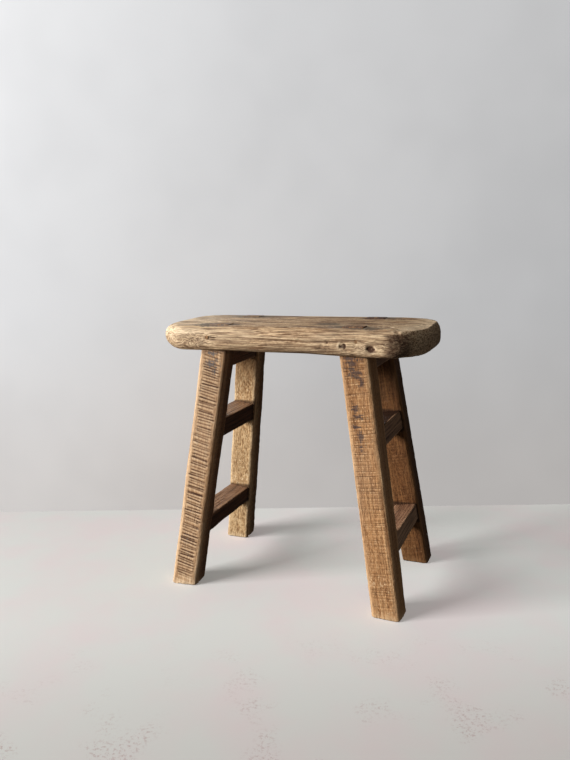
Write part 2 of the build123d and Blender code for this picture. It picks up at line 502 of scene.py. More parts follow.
# Legs

def leg_axis(side_x, side_y, z):
    """Where a leg's axis is at height z. With a side of 0 it is the middle between two legs."""
    drop_share = 1 - z / UNDERSIDE_Z
    x, y = LEG_TOP_X + SPLAY_X * drop_share, LEG_TOP_Y + SPLAY_Y * drop_share
    return np.array([side_x * x, side_y * y, z])


def leg_half_sizes(z, wider=0):
    """Half width and half depth of a leg's section at height z."""
    draw = LEG_DRAW_IN * (1 - z / UNDERSIDE_Z)
    return LEG_WIDTH / 2 - draw + wider, LEG_DEPTH / 2 - draw


def across_frame(side_x):
    """Direction square to the tilted frame of one end."""
    return np.array([cos(FRAME_TILT), 0, side_x * sin(FRAME_TILT)])


class LegFrame:
    """Axis and directions of one leg: u across its end frame, v towards the back, w up the leg."""

    def __init__(self, side_x, side_y):
        self.top = leg_axis(side_x, side_y, UNDERSIDE_Z)
        run = self.top - leg_axis(side_x, side_y, 0)
        self.w = run / np.linalg.norm(run)
        self.u = across_frame(side_x)
        self.v = np.cross(self.w, self.u)

    def at_height(self, x, y, z):
        """Points of the line at x, y beside the axis where it is at height z."""
        along = (z - self.top[2] - self.u[2] * x - self.v[2] * y) / self.w[2]
        return self.top + x[..., None] * self.u + y[..., None] * self.v + along[..., None] * self.w

    def local(self, points):
        """x, y and distance along the leg of points in the part's frame."""
        return (points - self.top) @ np.stack([self.u, self.v, self.w], -1)


# How each leg is hewn, worn and shaded. It is turned by degrees about its axis, slid across at its foot and
# shoulder, and wider a side. Arrises are radii at the front right, back right, back left and front left,
# and oval is the first one's depth as a share. The saw's strokes have a spacing, thickness, slant, ends,
# faintest one and, on the front, a strength, with light crests between them that are partly painted
# highlight.
# Left is the least share of them that wear has left, and rough the height of bumps. Shade, upper, dim and
# arris_shade are painted shade on the right face, the upper front, the front's right part and its right
# arris. Crumbs are heights of light specks. Stains are x, height, half sizes and strength.
PLAIN_LEG = dict(wider=1.2, ends=(0.5, 1.0, 0.5, 1.0), faint=0.1, left=0.4, dim=0, arris_shade=0, crumbs=(),
                 stains=())
LEG_LOOKS = {
    "leg_front_left": dict(
        seed=3, turn=4, slides=(0.5, 0.6), arrises=(10.5, 6, 5, 7), oval=0.5, spacing=4.9, thickness=1.25,
        slant=-0.1, ends=(0.5, 0.72, 0.5, 0.74), faint=0.55, strength=1.35, crests=0.65, left=0.7,
        rough=0.15, shade=1.0, upper=0.12, arris_shade=0.6,
        stains=((0, 396, 11, 10, 0.95), (6, 382, 6, 8, 0.8), (0, 412, 14, 5, 0.9), (-4, 84, 6, 10, 0.5))),
    "leg_front_right": dict(
        seed=11, turn=-3, slides=(0.4, -0.6), arrises=(9.5, 4, 5, 5), oval=0.5, spacing=3.9, thickness=0.8,
        slant=-0.02, ends=(0.6, 0.95, 0.6, 0.95), faint=0.2, strength=0.7, crests=0.9, rough=0.15,
        shade=0.25, upper=0.25, arris_shade=0.2, crumbs=(58,),
        stains=((-6, 402, 11, 11, 1.5), (1, 388, 11, 8, 1.5), (8, 375, 5, 10, 1.3), (-2, 411, 15, 3, 1.4),
                (-8, 332, 6, 9, 1.5), (-4, 322, 9, 4, 1.4), (-8, 305, 8, 5, 1.4), (-4, 292, 5, 8, 1.3),
                (-5, 275, 3, 12, 1.3))),
    "leg_back_left": dict(
        seed=23, turn=2, slides=(-0.7, -0.7), wider=0.5, arrises=(6, 6, 5, 7), oval=0.8, spacing=6.5,
        thickness=1.3, slant=0.1, strength=0.15, crests=0.6, rough=0.35, shade=1.0, upper=0.85,
        crumbs=(312, 132, 250)),
    "leg_back_right": dict(
        seed=31, turn=0, slides=(-0.3, -0.3), arrises=(7, 5, 5, 4), oval=0.8, spacing=5.5, thickness=1.1,
        slant=0.05, strength=0.3, crests=0.2, rough=0.25, shade=0.6, upper=0, dim=0.45, crumbs=(122, 22)),
}
LEG_RINGS = 560
LEG_SIDE_POINTS, LEG_ARC_POINTS = 20, 9
LEAST_ARRIS, GREATEST_ARRIS = 3.5, 13
SHOULDER_Z = UNDERSIDE_Z + 1.2
FOOT_ROUND = 2.6
FOOT_Z = 0.06
FLAT_FOOT_BELOW = 0.1
TENON_ARRIS = 1.2
TENON_RELIEF, TENON_DIRT, TENON_STAIN = 0.25, 0.5, 0.62
OTHER_FACES_STRENGTH = 0.3

# Sways of the hewn timber and fibres that stand out: height, size, seed and octaves
LEG_SWELLS = ((0.3, (70, 70, 90), 40, 2), (0.13, (5, 5, 80), 41, 2), (0.1, (4, 4, 9), 42, 2))


def bar_rings():
    """Height, scale and inset of the rings of a leg's bar, from the middle of its foot to its shoulder."""
    arc = np.radians(np.linspace(0, 90, 6))
    foot = [(0.02, share, FOOT_ROUND) for share in (0, 0.25, 0.5, 0.75, 0.9)]
    foot += [(FOOT_ROUND * (1 - cos(a)), 1, FOOT_ROUND * (1 - sin(a))) for a in arc]
    body = [(z, 1, 0) for z in np.linspace(FOOT_ROUND, SHOULDER_Z, LEG_RINGS)[1:]]
    return np.array(foot + body).T


def tenon_rings():
    """Heights and loops of a tenon's rings, from the shoulder to the middle of its top."""
    rise = np.linspace(SHOULDER_Z, TENON_TOP_Z - 0.5, 16)
    heights = np.concatenate([[SHOULDER_Z], rise, [TENON_TOP_Z - 0.15], np.full(10, TENON_TOP_Z)])
    scale = np.concatenate([np.ones(18), [0.985], np.linspace(0.93, 0, 9)])
    half_x, half_y = TENON_WIDTH / 2, TENON_DEPTH / 2
    return heights, bar_loops(half_x, half_y, scale, TENON_ARRIS, LEG_SIDE_POINTS, LEG_ARC_POINTS)


def leg_rings(leg, look):
    """Rings of one leg with its tenon, from the middle of the foot to the middle of the tenon's top.

    Each ring's points in the bar's own section come with them, and the count of rings below the tenon.
    """
    height, scale, inset = bar_rings()
    half_x, half_y = leg_half_sizes(height, look["wider"])
    radii = np.stack([arris * (1 + 0.14 * noise(on_axis(height), 40, look["seed"] + 5 + n, 2))
                      for n, arris in enumerate(look["arrises"])], -1).clip(LEAST_ARRIS, GREATEST_ARRIS)
    bar = rounded_loops(half_x - inset, half_y - inset, radii, LEG_SIDE_POINTS, LEG_ARC_POINTS, look["oval"])
    tenon_z, tenon = tenon_rings()
    section = np.concatenate([bar * scale[:, None, None], tenon])
    turn = np.concatenate([0 * height + radians(look["turn"]), 0 * tenon_z])[:, None]
    slide = np.concatenate([np.interp(height, (0, UNDERSIDE_Z), look["slides"]), 0 * tenon_z])[:, None]
    z = np.concatenate([height, tenon_z])[:, None]
    x, y = section[..., 0], section[..., 1]
    turned_x, turned_y = x * np.cos(turn) - y * np.sin(turn), x * np.sin(turn) + y * np.cos(turn)
    return leg.at_height(turned_x + slide, turned_y, z), section, len(bar)


class LegSkin:
    """The rings of one leg, with where each point lies on it."""

    def __init__(self, name, side_x, side_y):
        self.look = {**PLAIN_LEG, **LEG_LOOKS[name]}
        self.seed = self.look["seed"]
        leg = LegFrame(side_x, side_y)
        self.rings, section, bar_count = leg_rings(leg, self.look)
        self.x, self.y = section[..., 0], section[..., 1]
        self.z = self.rings[..., 2]
        self.local = np.stack([self.x, self.y, leg.local(self.rings)[..., 2]], -1)
        self.on_bar = 0 * self.z
        self.on_bar[:bar_count] = 1
        self.half_x, self.half_y = leg_half_sizes(self.z, self.look["wider"])
        self.right, self.back = self.x / self.half_x, self.y / self.half_y
        self.front = self.on_bar * ramp(-self.back, 0.75, 0.97)
        self.inner = ramp(-side_y * self.back, 0.8, 0.97)
        self.arris = near_arris(self.x, self.y, self.half_x, self.half_y, 5.0)
        self.foot = bell(self.z / 9)
        # Painted shade on the front right arris, from a little above the foot
        self.painted_arris_shade = self.look["arris_shade"] * ramp(self.z, 70, 150)

    def noise(self, size, number, octaves=1):
        return noise(self.local, size, self.seed + number, octaves)


def leg_strokes(skin):
    """Strokes of the saw on the four faces, and light crests between those of the front."""
    look, x, y, half_x, half_y = skin.look, skin.x, skin.y, skin.half_x, skin.half_y
    saw, crest = 0 * x, 0 * x
    faces = ((-skin.back, x, half_x), (skin.back, x, half_x), (-skin.right, y, half_y),
             (skin.right, y, half_y))
    for number, (nearness, across, half) in enumerate(faces):
        on_front = number == 0
        left = look["left"] + (1 - look["left"]) * ramp(skin.noise((30, 30, 45), number, 2), -0.75, 0.1)
        left *= ramp(nearness, 0.9, 0.985) * ramp(half - np.abs(across), 2.5, 6)
        strokes, between = (saw_marks(skin.local[..., 2] + lift, across, half, skin.seed + 7 * number,
                                      look["spacing"], look["thickness"], look["slant"], look["ends"],
                                      look["faint"]) for lift in (0, look["spacing"] / 2))
        saw += (look["strength"] if on_front else OTHER_FACES_STRENGTH) * left * strokes
        crest += on_front * look["crests"] * left * between
    saw *= skin.on_bar * ramp(skin.z, 8, 26)
    crest *= skin.on_bar * (1 - saw)
    for crumb_z in look["crumbs"]:
        crumbs = skin.front * bell((skin.z - crumb_z) / 13) * ramp(skin.noise((4, 4, 4), 48), -0.1, 0.6)
        crest = np.maximum(crest, crumbs)
    return saw, crest


def leg_relief(skin, saw):
    """Sways, fibres, bumps and strokes of the faces, knocks on the arrises and a battered foot."""
    relief = swells(skin.local, LEG_SWELLS, skin.seed) - 0.15 - 0.4 * saw
    relief += skin.look["rough"] * skin.noise((6.5, 6.5, 8), 47, 2)
    knocks = ramp(skin.noise((9, 9, 16), 43, 2), 0.35, 0.95)
    relief -= skin.arris * (0.7 * knocks + 0.2 * skin.noise((12, 12, 30), 44))
    relief -= 0.9 * skin.foot * ramp(skin.noise((8, 8, 8), 45, 2), 0.0, 0.9)
    return relief * np.where(skin.on_bar > 0, 1, TENON_RELIEF)


def leg_wear(skin):
    """Rubbed arrises with painted highlight, less at the front right one under its painted shade, and a
    rubbed foot.
    """
    wear = skin.on_bar * np.clip(skin.arris * (1.0 + 0.4 * skin.noise((10, 10, 26), 46, 2)), 0, 1)
    # Less wear and painted highlight where the front right arris has painted shade
    arris_shaded = ramp(skin.painted_arris_shade * ramp(skin.x, 0, skin.half_x), 0.2, 0.5)
    wear *= 1 - 0.8 * arris_shaded * ramp(skin.half_y - skin.y, 4, 12)
    corner = np.minimum(skin.half_x - np.abs(skin.x), skin.half_y - np.abs(skin.y))
    return np.maximum(wear, 0.8 * skin.on_bar * skin.foot * bell(corner / 6))


def leg_dirt(skin):
    """Painted shade just under the seat, dirt and painted shade over and under the stretchers' ends, and
    dirt on the tenon.
    """
    # Painted shade in a band just under the seat
    dirt = 0.55 * bell(((UNDERSIDE_Z - skin.z) / 7).clip(0))
    # Dirt and painted shade on the inner faces over and under the stretchers
    for rail_z, rail_height in STRETCHERS:
        gap = np.maximum(np.abs(skin.z - rail_z) - rail_height / 2, 0)
        dirt = np.maximum(dirt, 0.75 * skin.inner * bell(gap / 5))
    return np.where(skin.on_bar > 0, dirt, TENON_DIRT)


def leg_stain(skin):
    """Stains on the front, broken up by the grain, and the grey of the tenon's end."""
    stain = 0 * skin.z
    for x, z, size_x, size_z, strength in skin.look["stains"]:
        stain = np.maximum(stain, strength * skin.front * spot(skin.x, skin.z, (x, z), (size_x, size_z)))
    stain *= 0.35 + 0.65 * ramp(skin.noise((7, 7, 2.4), 49), -0.5, 0.1)
    return np.where(skin.on_bar > 0, stain, TENON_STAIN)


def leg_shade(skin):
    """Painted shade on the right face, the upper front, the front's right part and the front right arris."""
    right_face = skin.on_bar * ramp(skin.right, 0.78, 0.97) * (0.35 + 0.65 * ramp(skin.back, -0.95, 0.3))
    from_right, from_front = skin.half_x - skin.x, skin.half_y + skin.y
    front_arris = (1 - ramp(from_right, 4, 7)) * (1 - ramp(from_front, 3, 5))
    return np.maximum.reduce([
        skin.look["shade"] * right_face,
        skin.look["upper"] * skin.front * ramp(skin.z, 275, 375),
        skin.look["dim"] * skin.front * ramp(skin.right, -0.3, 0.9),
        skin.painted_arris_shade * skin.on_bar * front_arris,
    ])


def make_leg(name, side_x, side_y, material):
    """One leg with its tenon, whose foot stays flat."""
    skin = LegSkin(name, side_x, side_y)
    saw, crest = leg_strokes(skin)
    flat_foot = (skin.z < FLAT_FOOT_BELOW) & (skin.on_bar > 0)
    relief = np.where(flat_foot, 0, leg_relief(skin, saw))
    rings = skin.rings + outward(skin.rings) * relief[..., None]
    rings[..., 2] = np.where(flat_foot, FOOT_Z, rings[..., 2])
    grain = skin.local * MM + np.array([0, 0, skin.seed * 1.37])
    marks = wood_marks(grain, saw=saw, crest=crest, wear=leg_wear(skin), dirt=leg_dirt(skin),
                       stain=leg_stain(skin), shade=leg_shade(skin))
    return make_piece(f"{name}_timber", [(rings, marks)], material, name)


# Rails

# How each rail is aged and shaded: dirt with painted shade on its faces; painted shade, and wear with
# painted light, on its right face; painted shade and wear on its top
PLAIN_RAIL = dict(dirt=0, shade=0, wear=0, top_shade=0, top_wear=0)
RAIL_LOOKS = {
    "top_rail_left": dict(seed=100, dirt=0.4, shade=0.6),
    "middle_stretcher_left": dict(seed=150, shade=1.0, top_wear=0.75),
    "lower_stretcher_left": dict(seed=200, shade=1.0, top_wear=0.5),
    "top_rail_right": dict(seed=250, dirt=0.4),
    "middle_stretcher_right": dict(seed=300, dirt=0.95, wear=0.25, top_shade=0.75),
    "lower_stretcher_right": dict(seed=350, wear=0.6),
}
RAIL_RINGS = 82
RAIL_END_INSET = 9
TOP_RAIL_RISE = 4
TOP_RAIL_SUNK = 0.8
RAIL_SWELLS = ((0.3, (50, 50, 60), 40, 2), (0.12, (4, 4, 60), 41, 2), (0.08, (4, 4, 8), 42, 2))


def rail_rings(side_x, z, height, rise, seed):
    """Rings of a rail from its back to its front end, and their points as x, y and run along the rail."""
    half_run = leg_axis(side_x, 1, z)[1] - RAIL_END_INSET
    runs = np.concatenate([[half_run], np.linspace(half_run, -half_run, RAIL_RINGS), [-half_run]])
    scale = np.concatenate([[0], np.ones(RAIL_RINGS), [0]])
    one = np.ones(len(runs))
    radii = np.stack([3.0 + 0.8 * noise(on_axis(runs), 22, seed + n, 2) for n in range(4)], -1)
    loops = rounded_loops(one * RAIL_THICKNESS / 2, one * (height + rise) / 2, radii, 15, 7)
    loops *= scale[:, None, None]
    run = np.broadcast_to(runs[:, None], loops.shape[:2])
    local = np.stack([loops[..., 0], loops[..., 1] + rise / 2, run], -1)
    up_frame = (-side_x * sin(FRAME_TILT), 0, cos(FRAME_TILT))
    return leg_axis(side_x, 0, z) + local @ np.stack([across_frame(side_x), up_frame, (0, 1, 0)]), local


def make_rail(name, side_x, z, height, material):
    """One cross rail between the two legs of an end, with its ends let into them."""
    look = {**PLAIN_RAIL, **RAIL_LOOKS[name]}
    seed = look["seed"]
    rise = TOP_RAIL_RISE if name.startswith("top_rail") else 0
    rings, local = rail_rings(side_x, z, height, rise, seed)
    x, y, run = np.moveaxis(local, -1, 0)
    half_x, half_y = RAIL_THICKNESS / 2, height / 2
    arris = near_arris(x, y, half_x, half_y, 3.5)
    strokes = saw_marks(run, x, half_x, seed + 9, 5.2, 1.0, 0.15) * ramp(np.abs(y) / half_y, 0.86, 0.98)
    relief = swells(local, RAIL_SWELLS, seed) - 0.3 - 0.2 * strokes
    relief -= 0.7 * arris * ramp(noise(local, (8, 8, 14), seed + 43, 2), 0.3, 0.95)
    rings = rings + outward(rings) * relief[..., None]
    rings[..., 2] = np.minimum(rings[..., 2], UNDERSIDE_Z + TOP_RAIL_SUNK)

    right_face = ramp(x / half_x, 0.85, 0.97)
    top = ramp(y / half_y, 0.86, 0.98)
    wear = np.clip(arris * (0.7 + 0.5 * noise(local, (10, 10, 22), seed + 46, 2)), 0, 1)
    to_leg = (leg_axis(side_x, 1, z)[1] - LEG_DEPTH / 2 - np.abs(run)).clip(0)
    # Dirt and painted shade where the rail meets the legs, and over its faces by its look: painted shade
    # under the seat on the top rails and a painted shadow on the middle right stretcher
    dirt = np.maximum(0.7 * bell(to_leg / 5), look["dirt"] * ramp(-wear, -0.6, -0.2) * (1 - right_face))
    # Wear, with painted light on the right face, and wear on the top
    wear = np.maximum.reduce([wear, look["wear"] * right_face, look["top_wear"] * top])
    # Painted shade on the right face, and a painted shadow on the middle right stretcher's top
    shade = np.maximum(look["shade"] * right_face, look["top_shade"] * top * ramp(-wear, -0.6, -0.2))
    grain = local * MM + np.array([0, 0, seed * 1.71])
    marks = wood_marks(grain, saw=0.5 * strokes, wear=wear, dirt=dirt, shade=shade)
    return make_piece(f"{name}_timber", [(rings, marks)], material, name)


# Seat

SEAT_LEFT = -HALF_LENGTH
SEAT_RIGHT = HALF_LENGTH - 0.3
TOP_Z = SEAT_TOP_Z - 0.75
TOP_LIMIT = SEAT_TOP_Z - 0.45
BOTTOM_Z = UNDERSIDE_Z + 0.1
SAG = 2.2

# Corners of the outline: the front right one turns sharply first and then runs out in a wide arc
SHARP_RADIUS, SHARP_TURN = 40, 39
WIDE_RADIUS = 80
BACK_RIGHT_RADIUS = 74

# Marks on the seat's front edge: x and height, half sizes, tilt, and from where to where a sharp one rises
EDGE_MARKS = {
    "nail": ((-129, 440), (3.4, 2.8), 0, None),
    "upper_crack": ((-119, 440.5), (9, 0.9), -4, None),
    "lower_crack": ((-120, 437.5), (8, 0.9), -4, None),
    "square": ((108.5, 432), (6.5, 5.8), 10, (0.3, 0.6)),
    "square_rim": ((108.5, 432), (9.5, 8.5), 0, (0.3, 0.5)),
    "square_middle": ((108.5, 431.5), (2.6, 2.4), 10, None),
    "hole": ((153, 428.5), (9.4, 5.6), -4, (0.35, 0.75)),
    "hole_rim": ((153, 428.5), (11.5, 7.0), 0, (0.25, 0.5)),
    "hole_middle": ((154.5, 427.5), (2.2, 1.3), 0, None),
    "knot": ((171, 432), (4.6, 4.4), 20, None),
    "chip": ((130, 440), (2.2, 4.6), 10, (0.3, 0.7)),
    "tiny_hole": ((83, 437), (1.7, 1.7), 0, None),
}
MARK_HEIGHTS = dict(nail=-1.0, crack=-0.6, square=-1.0, square_middle=0.6, hole=-3.2, hole_middle=1.4,
                    rim=0.6, knot=0.25, chip=-1.0, tiny_hole=-1.4)
# Places where the seat's grain curls: x, height, half sizes, strength
CURLS = ((-162, 436, 26, 14, 0.8), (153, 429, 18, 10, 0.6), (171, 432, 8, 8, 0.5), (-129, 440, 12, 9, 0.4))
# Smudges on its top: x, y, half sizes, strength
SMUDGES = ((-134, -70, 26, 17, 1.9), (-104, -62, 22, 11, 1.5), (108, -66, 36, 14, 1.8),
           (136, -78, 32, 10, 1.5), (63, -31, 24, 13, 1.7), (128, 62, 34, 14, 1.6), (-116, 62, 36, 16, 2.2),
           (150, -84, 20, 7, 0.9))
# Slow waves and open grain of the plank: height, size, seed and octaves
SEAT_SWELLS = ((0.45, (110, 60, 60), 81, 2), (0.2, (90, 5, 5), 82, 2), (0.14, (60, 3.2, 3.2), 83, 1))


def seat_outline():
    """Points round the seat at its widest, and the outward directions there."""
    points, normals = [], []

    def line(start, end, count):
        start, end = np.array(start), np.array(end)
        points.append(start + (end - start) * np.linspace(0, 1, count + 1)[:-1, None])
        run = (end - start) / np.hypot(*(end - start))
        normals.append(np.tile((run[1], -run[0]), (count, 1)))

    def arc(centre, radius, start, end, count):
        angle = np.radians(np.linspace(start, end, count + 1))[:-1]
        direction = np.stack([np.cos(angle), np.sin(angle)], -1)
        points.append(np.array(centre) + radius * direction)
        normals.append(direction)

    beyond = WIDE_RADIUS - SHARP_RADIUS
    corner_x = SEAT_RIGHT - WIDE_RADIUS + beyond * sin(radians(SHARP_TURN))
    wide_y = -HALF_WIDTH + SHARP_RADIUS + beyond * cos(radians(SHARP_TURN))
    left_x = SEAT_LEFT + CORNER_RADIUS
    low_y, high_y = -HALF_WIDTH + CORNER_RADIUS, HALF_WIDTH - CORNER_RADIUS
    back_x, back_y = SEAT_RIGHT - BACK_RIGHT_RADIUS, HALF_WIDTH - BACK_RIGHT_RADIUS
    line((left_x, -HALF_WIDTH), (corner_x, -HALF_WIDTH), 280)
    arc((corner_x, -HALF_WIDTH + SHARP_RADIUS), SHARP_RADIUS, -90, SHARP_TURN - 90, 24)
    arc((SEAT_RIGHT - WIDE_RADIUS, wide_y), WIDE_RADIUS, SHARP_TURN - 90, 0, 36)
    line((SEAT_RIGHT, wide_y), (SEAT_RIGHT, back_y), 44)
    arc((back_x, back_y), BACK_RIGHT_RADIUS, 0, 90, 60)
    line((back_x, HALF_WIDTH), (left_x, HALF_WIDTH), 280)
    arc((left_x, high_y), CORNER_RADIUS, 90, 180, 60)
    line((SEAT_LEFT, high_y), (SEAT_LEFT, low_y), 44)
    arc((left_x, low_y), CORNER_RADIUS, 180, 270, 60)
    return np.concatenate(points), np.concatenate(normals)


def seat_rings():
    """Rings of the seat from the middle line of its underside, out round its edge, to that of its top.

    The right end has a crisp arris above a full, bulging edge. Elsewhere the edge is worn round, most at the
    left. The underside sags at the front right corner, where its edge is less worn.
    """
    outline, direction = seat_outline()
    x, y = outline.T
    flat = np.stack([x, y, 0 * x], -1)
    crisp = ramp(x, 158, 190) * ramp(y, -98.9, -94)
    nose = ramp(-x, 175, 225)
    sweep = (0.5 + 0.5 * (1 - crisp)) * pi / 2
    top_in = (19.5 + 2.0 * noise(flat, 45, 71, 2) + 3 * nose) * (1 - crisp) + 7 * crisp
    top_down = (17.5 + 1.5 * noise(flat, 60, 72) + 2 * nose) * (1 - crisp) + 19 * crisp
    dip = (1.4 + 2.0 * ramp(-y, -30, 60)) * crisp
    sag = ramp(x, 20, 160) * ramp(-y, 0, 80)
    fuller = sag * (1 - ramp(x, 180, 212))
    low_in = 13 + 2.0 * noise(flat, 50, 73, 2) + 9 * nose - 7 * fuller
    low_up = 16 + 2.0 * noise(flat, 50, 74) + 7 * nose - 6 * fuller
    low_z = BOTTOM_Z - SAG * sag
    reach = HALF_LENGTH - HALF_WIDTH
    middle = np.stack([np.clip(x * reach / (HALF_LENGTH - CORNER_RADIUS), -reach, reach), 0 * x], -1)
    rings = []

    def ring(inset, z, share=0):
        edge = outline - direction * inset[:, None]
        place = edge + (middle - edge) * share
        rings.append(np.stack([place[:, 0], place[:, 1], z + 0 * x], -1))

    for share in np.linspace(1, 0, 24)[:-1]:
        ring(low_in, BOTTOM_Z + (low_z - BOTTOM_Z) * (1 - share), share)
    for angle in np.radians(np.linspace(90, 0, 15)):
        ring(low_in * (1 - cos(angle)), low_z + low_up * (1 - sin(angle)))
    bottom, top = low_z + low_up, TOP_Z - dip - top_down
    for share in np.linspace(0, 1, 7)[1:-1]:
        ring(0 * x, bottom + (top - bottom) * share)
    for angle in np.linspace(0, 1, 18)[:, None] * sweep:
        inset = top_in * (1 - np.cos(angle)) / (1 - np.cos(sweep))
        ring(inset, TOP_Z - dip - top_down * (1 - np.sin(angle) / np.sin(sweep)))
    for share in np.linspace(0, 1, 46)[1:]:
        ring(top_in, TOP_Z - dip * (1 - ramp(share, 0.0, 0.3)), share)
    return np.stack(rings)


class SeatSkin:
    """The rings of the seat, with where each point lies on it."""

    def __init__(self):
        self.rings = seat_rings()
        self.normal = outward(self.rings)
        self.x, self.y, self.z = np.moveaxis(self.rings, -1, 0)
        self.flat_top = ramp(self.normal[..., 2], 0.9, 0.995)
        self.edge = 1 - np.abs(self.normal[..., 2])
        self.front = ramp(-self.normal[..., 1], 0.25, 0.6) * (self.y < 0)
        self.under = ramp(-self.normal[..., 2], 0.6, 0.95)
        self.below_arris = ramp(SEAT_TOP_Z - self.z, 5, 10)
        self.grooves = ramp(self.noise((85, 3.4, 3.4), 87, 2), 0.35, 0.9)
        self.tenons = self.round_tenons()

    def lift(self, relief):
        """Move the points outward. Their x, y and z stay those of before."""
        self.rings = self.rings + self.normal * relief[..., None]
        self.rings[..., 2] = np.minimum(self.rings[..., 2], TOP_LIMIT)

    def noise(self, size, seed, octaves=1):
        return noise(self.rings, size, seed, octaves)

    def round_tenons(self):
        """1 on the tops of the tenons, and less round them."""
        tenons = 0 * self.x
        for sides in LEGS.values():
            local = np.abs(LegFrame(*sides).local(self.rings))
            gap = np.maximum(local[..., 0] - TENON_WIDTH / 2, local[..., 1] - TENON_DEPTH / 2)
            tenons = np.maximum(tenons, bell(gap / 2.0) * self.flat_top)
        return tenons


def edge_marks(skin):
    """The nail, holes, knots and chips of the front edge, each from 0 to 1."""
    marks = {}
    for name, (centre, size, tilt, sides) in EDGE_MARKS.items():
        oval = spot(skin.x, skin.z, centre, size, tilt)
        marks[name] = skin.front * (ramp(oval, *sides) if sides else oval)
    marks["crack"] = np.maximum(marks["upper_crack"], marks["lower_crack"])
    rim = np.maximum(marks["hole_rim"] * (1 - marks["hole"]), marks["square_rim"] * (1 - marks["square"]))
    # The square's rim is whole at its left only
    from_square = (skin.x - EDGE_MARKS["square"][0][0]) * (skin.x < 125)
    marks["rim"] = rim * ramp(skin.noise((6, 6, 4), 93, 2) - 0.04 * from_square, -0.2, 0.5)
    marks["square"] *= ramp(skin.noise((3.4, 3.4, 3.4), 94), -0.6, 0.1)
    return marks


def seat_relief(skin, marks):
    """Waves, open grain, dents and a top that long use has left a little hollow."""
    relief = swells(skin.rings, SEAT_SWELLS) - 0.45 + 0.1 * skin.noise((9, 4, 4), 84, 2) * skin.edge
    calm = skin.edge * (1 - 0.7 * ramp(skin.x, 180, 215))
    relief += 0.35 * skin.noise((26, 20, 16), 85, 2) * calm
    relief -= 0.9 * calm * ramp(skin.noise((14, 12, 9), 86, 2), 0.5, 1.05)
    relief -= 0.8 * skin.flat_top * spot(skin.x, skin.y, (0, 0), (150, 55))
    relief -= 0.3 * skin.grooves + 0.35 * skin.tenons
    return relief + sum(height * marks[name] for name, height in MARK_HEIGHTS.items())


def seat_dirt(skin, marks):
    """Dirt round the tenons, in the grooves and holes, and painted shade under the seat and on the front
    right corner and the right end below the arris.
    """
    # Painted shade on the front right corner, less on the right end, below the arris
    right = 0.7 * ramp(skin.x, 164, 184) - 0.5 * ramp(skin.x, 204, 222)
    # Dirt in the grooves, and painted shade on the underside
    dirt = 0.35 * skin.grooves * (0.4 + 0.6 * skin.flat_top) + 0.25 * skin.under
    dirt += right * (1 - skin.flat_top) * (1 - skin.under) * skin.below_arris
    filled = (0.8 * skin.tenons, 1.3 * marks["nail"], 1.17 * marks["crack"], 1.2 * marks["square"],
              1.3 * marks["hole"], 1.3 * marks["tiny_hole"])
    dirt = np.maximum.reduce([dirt, *filled])
    return np.clip(dirt * (1 - 0.75 * np.maximum(marks["square_middle"], marks["hole_middle"])), 0, 1.3)


def seat_stain(skin, marks):
    """Smudges on the top, fainter over the front edge, and grey round the nail and in the square."""
    stain = np.maximum(marks["nail"], 0.45 * marks["square"])
    for x, y, size_x, size_y, strength in SMUDGES:
        smudge = strength * spot(skin.x, skin.y, (x, y), (size_x, size_y))
        stain = np.maximum(stain, smudge * (1 - skin.under) * (1 - 0.6 * skin.front))
    return stain


def seat_wear(skin, marks):
    """The upper edge is rubbed pale, and painted highlight lightens it most at the left, the left end, the
    top's left part and the right end's arris.
    """
    x, z, edge, side = skin.x, skin.z, skin.edge, 1 - skin.under
    lip = bell((z - SEAT_TOP_Z + 9) / 8) * ramp(edge, 0.05, 0.4)
    # Painted highlight on the left end, which faces the light
    pale = ramp(-x, 60, 215) * side * (0.35 + 0.65 * ramp(z, UNDERSIDE_Z + 12, UNDERSIDE_Z + 32))
    # Painted highlight along the right end's arris
    arris = ramp(x, 175, 205) * bell((z - SEAT_TOP_Z + 2.6) / 1.8)
    # Wear and painted highlight on the upper edge, more towards the left
    wear = (0.2 + 0.45 * ramp(-x, 0, 180)) * lip + 0.55 * pale + 0.15 * edge * side
    # Painted highlight on the top's left part
    wear += 0.3 * skin.flat_top * ramp(-x, 90, 190) + 0.15 * skin.front * ramp(x, 110, 150)
    wear *= 0.75 + 0.6 * skin.noise((40, 6, 6), 88, 2)
    wear += marks["chip"] + 0.6 * marks["rim"] + 0.6 * marks["hole_middle"] + 0.9 * arris
    return np.clip(wear, 0, 1)


def seat_shade(skin):
    """Painted shade at the right end's back and on the front near the right corner."""
    right_end = ramp(skin.x, 205, 228) * (1 - skin.flat_top) * ramp(skin.y, -80, 60)
    corner = ramp(skin.x, 176, 192) * ramp(-skin.x, -212, -198) * skin.front * skin.below_arris
    return np.maximum(0.5 * right_end, 0.3 * corner)


def seat_grain(skin):
    """Places in the plank's wood, whose grain runs along the seat and curls round knots and nails."""
    curl = skin.front * np.maximum.reduce([strength * spot(skin.x, skin.z, (x, z), size)
                                           for x, z, *size, strength in CURLS])
    swirl_y, swirl_z = (9 * curl * skin.noise((17, 12, 11), seed, 2) for seed in (91, 92))
    return np.stack([(skin.y + swirl_y) * MM, (skin.z + swirl_z) * MM - 0.43, skin.x * MM + 3.1], -1)


def make_seat(material):
    """The plank, worn round, with the marks of its front edge."""
    skin = SeatSkin()
    marks = edge_marks(skin)
    skin.lift(seat_relief(skin, marks))
    dark, pale = (skin.flat_top * ramp(skin.noise((75, 5.5, 5.5), seed, 2), 0.25, 0.8) for seed in (95, 96))
    values = wood_marks(seat_grain(skin), saw=0.9 * dark, crest=0.95 * pale, wear=seat_wear(skin, marks),
                        dirt=seat_dirt(skin, marks), stain=seat_stain(skin, marks), shade=seat_shade(skin))
    return make_piece("seat_plank", [(skin.rings, values)], material, "seat")


